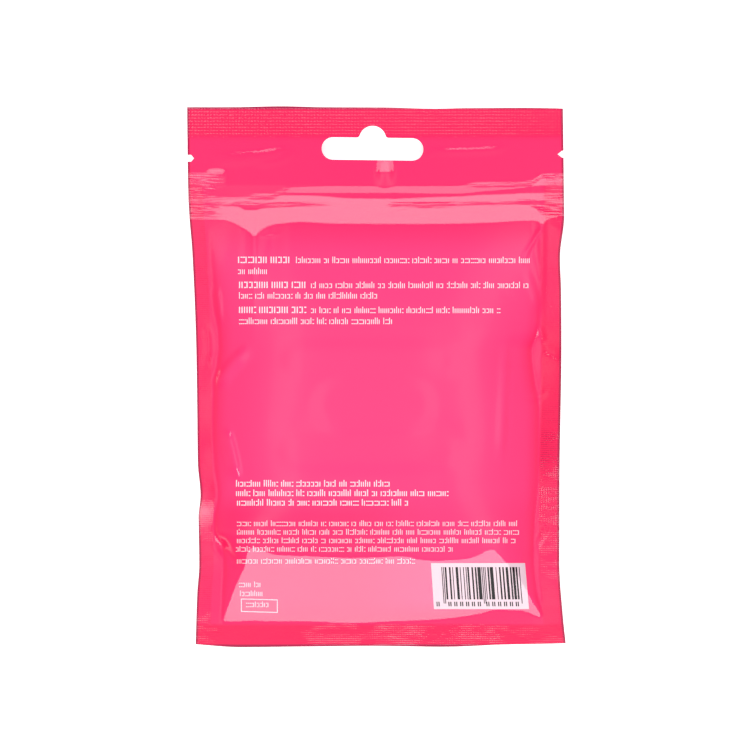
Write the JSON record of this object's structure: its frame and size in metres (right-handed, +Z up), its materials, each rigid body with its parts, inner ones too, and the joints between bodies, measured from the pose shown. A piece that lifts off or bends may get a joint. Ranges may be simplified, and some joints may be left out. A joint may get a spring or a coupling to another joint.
{
  "type": "sealed zip pouch of gel toe separators",
  "caption": "Flat pink foil-laminate zip pouch, sealed and bulged by its contents, with a round-ended hang slot, tear notches and crimped seals.",
  "frame": {"origin": "middle of the box around the pouch, on the surface that it lies on", "axes": "+Z up out of the printed back, +Y from the bottom seal towards the hang slot, +X to the right as seen from above"},
  "size_m": [0.1207, 0.1723, 0.0146],
  "materials": {
    "foil_laminate": "gloss pink film over a metallised web",
    "white_ink": "white ink under the same gloss film",
    "black_ink": "black ink under the same gloss film"
  },
  "bodies": {
    "root": {"sealed_pouch": "foil_laminate"}
  },
  "joints": []
}
